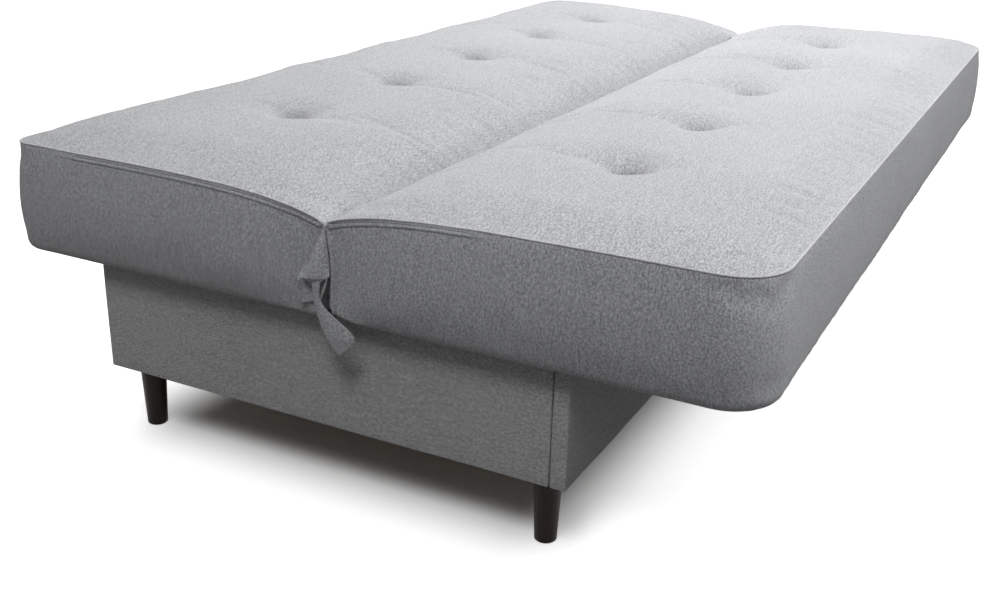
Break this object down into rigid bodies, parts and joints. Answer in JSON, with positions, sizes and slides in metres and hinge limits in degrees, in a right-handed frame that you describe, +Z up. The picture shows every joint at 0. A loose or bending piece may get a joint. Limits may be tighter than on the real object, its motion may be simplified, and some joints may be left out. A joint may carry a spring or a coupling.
{
  "type": "sofa bed",
  "caption": "Upholstered click clack sofa bed folded flat: two tufted mattress halves hinged over a storage box on tapered wooden legs.",
  "frame": {"origin": "centre of the bed in plan, at floor level", "axes": "+X along the bed's length, -Y towards the sofa's front, +Z up"},
  "size_m": [1.9986, 1.212, 0.4997],
  "materials": {
    "mattress_cloth": "woven grey melange, matt",
    "box_cloth": "woven grey melange, matt",
    "lining_cloth": "thin black lining, matt",
    "timber": "planed softwood",
    "plywood": "raw board",
    "leg_wood": "dark stained, satin varnish",
    "zinc_steel": "zinc plated",
    "black_steel": "black powder coat",
    "nylon": "natural nylon"
  },
  "bodies": {
    "box": {"front_board": "box_cloth", "rear_board": "box_cloth", "left_end_panel": "box_cloth", "right_end_panel": "box_cloth", "box_floor": "plywood", "left_floor_bearer": "timber", "right_floor_bearer": "timber", "left_front_corner_block": "timber", "left_front_leg": "leg_wood", "left_rear_corner_block": "timber", "left_rear_leg": "leg_wood", "right_front_corner_block": "timber", "right_front_leg": "leg_wood", "right_rear_corner_block": "timber", "right_rear_leg": "leg_wood", "left_guide_channel": "zinc_steel", "right_guide_channel": "zinc_steel"},
    "carriage": {"left_carriage_plate": "black_steel", "left_front_guide_shoe": "nylon", "left_rear_guide_shoe": "nylon", "left_pivot_pin": "zinc_steel", "left_pawl_pin": "zinc_steel", "left_side_gusset": "mattress_cloth", "right_carriage_plate": "black_steel", "right_front_guide_shoe": "nylon", "right_rear_guide_shoe": "nylon", "right_pivot_pin": "zinc_steel", "right_pawl_pin": "zinc_steel", "right_side_gusset": "mattress_cloth", "cross_tube": "black_steel"},
    "left_pawl_body": {"left_pawl": "zinc_steel"},
    "right_pawl_body": {"right_pawl": "zinc_steel"},
    "seat": {"seat_pad": "mattress_cloth", "seat_lining": "lining_cloth", "seat_deck": "plywood", "seat_left_rail": "timber", "seat_right_rail": "timber", "seat_crease_rail": "timber", "seat_outer_rail": "timber", "seat_centre_rail": "timber", "seat_left_arm": "zinc_steel", "seat_right_arm": "zinc_steel"},
    "back": {"back_pad": "mattress_cloth", "back_lining": "lining_cloth", "back_deck": "plywood", "back_left_rail": "timber", "back_right_rail": "timber", "back_crease_rail": "timber", "back_outer_rail": "timber", "back_centre_rail": "timber", "back_left_arm": "zinc_steel", "back_right_arm": "zinc_steel"}
  },
  "joints": [
    {"name": "carriage_slide", "type": "slide", "parent": "box", "child": "carriage", "axis": [0, 1, 0], "range_m": [0, 0.25]},
    {"name": "back_fold", "type": "hinge", "parent": "carriage", "child": "back", "pos_m": [0, 0.02, 0.428], "axis": [1, 0, 0], "range_deg": [0, 75]},
    {"name": "seat_lift", "type": "hinge", "parent": "carriage", "child": "seat", "pos_m": [0, 0.02, 0.428], "axis": [-1, 0, 0], "range_deg": [0, 35]},
    {"name": "left_pawl_turn", "type": "hinge", "parent": "carriage", "child": "left_pawl_body", "pos_m": [0, -0.014, 0.376], "axis": [1, 0, 0], "range_deg": [0, 10]},
    {"name": "right_pawl_turn", "type": "hinge", "parent": "carriage", "child": "right_pawl_body", "pos_m": [0, -0.014, 0.376], "axis": [1, 0, 0], "range_deg": [0, 10]}
  ],
  "couplings": [
    {"joint": "right_pawl_turn", "follows": "left_pawl_turn", "ratio": 1}
  ]
}
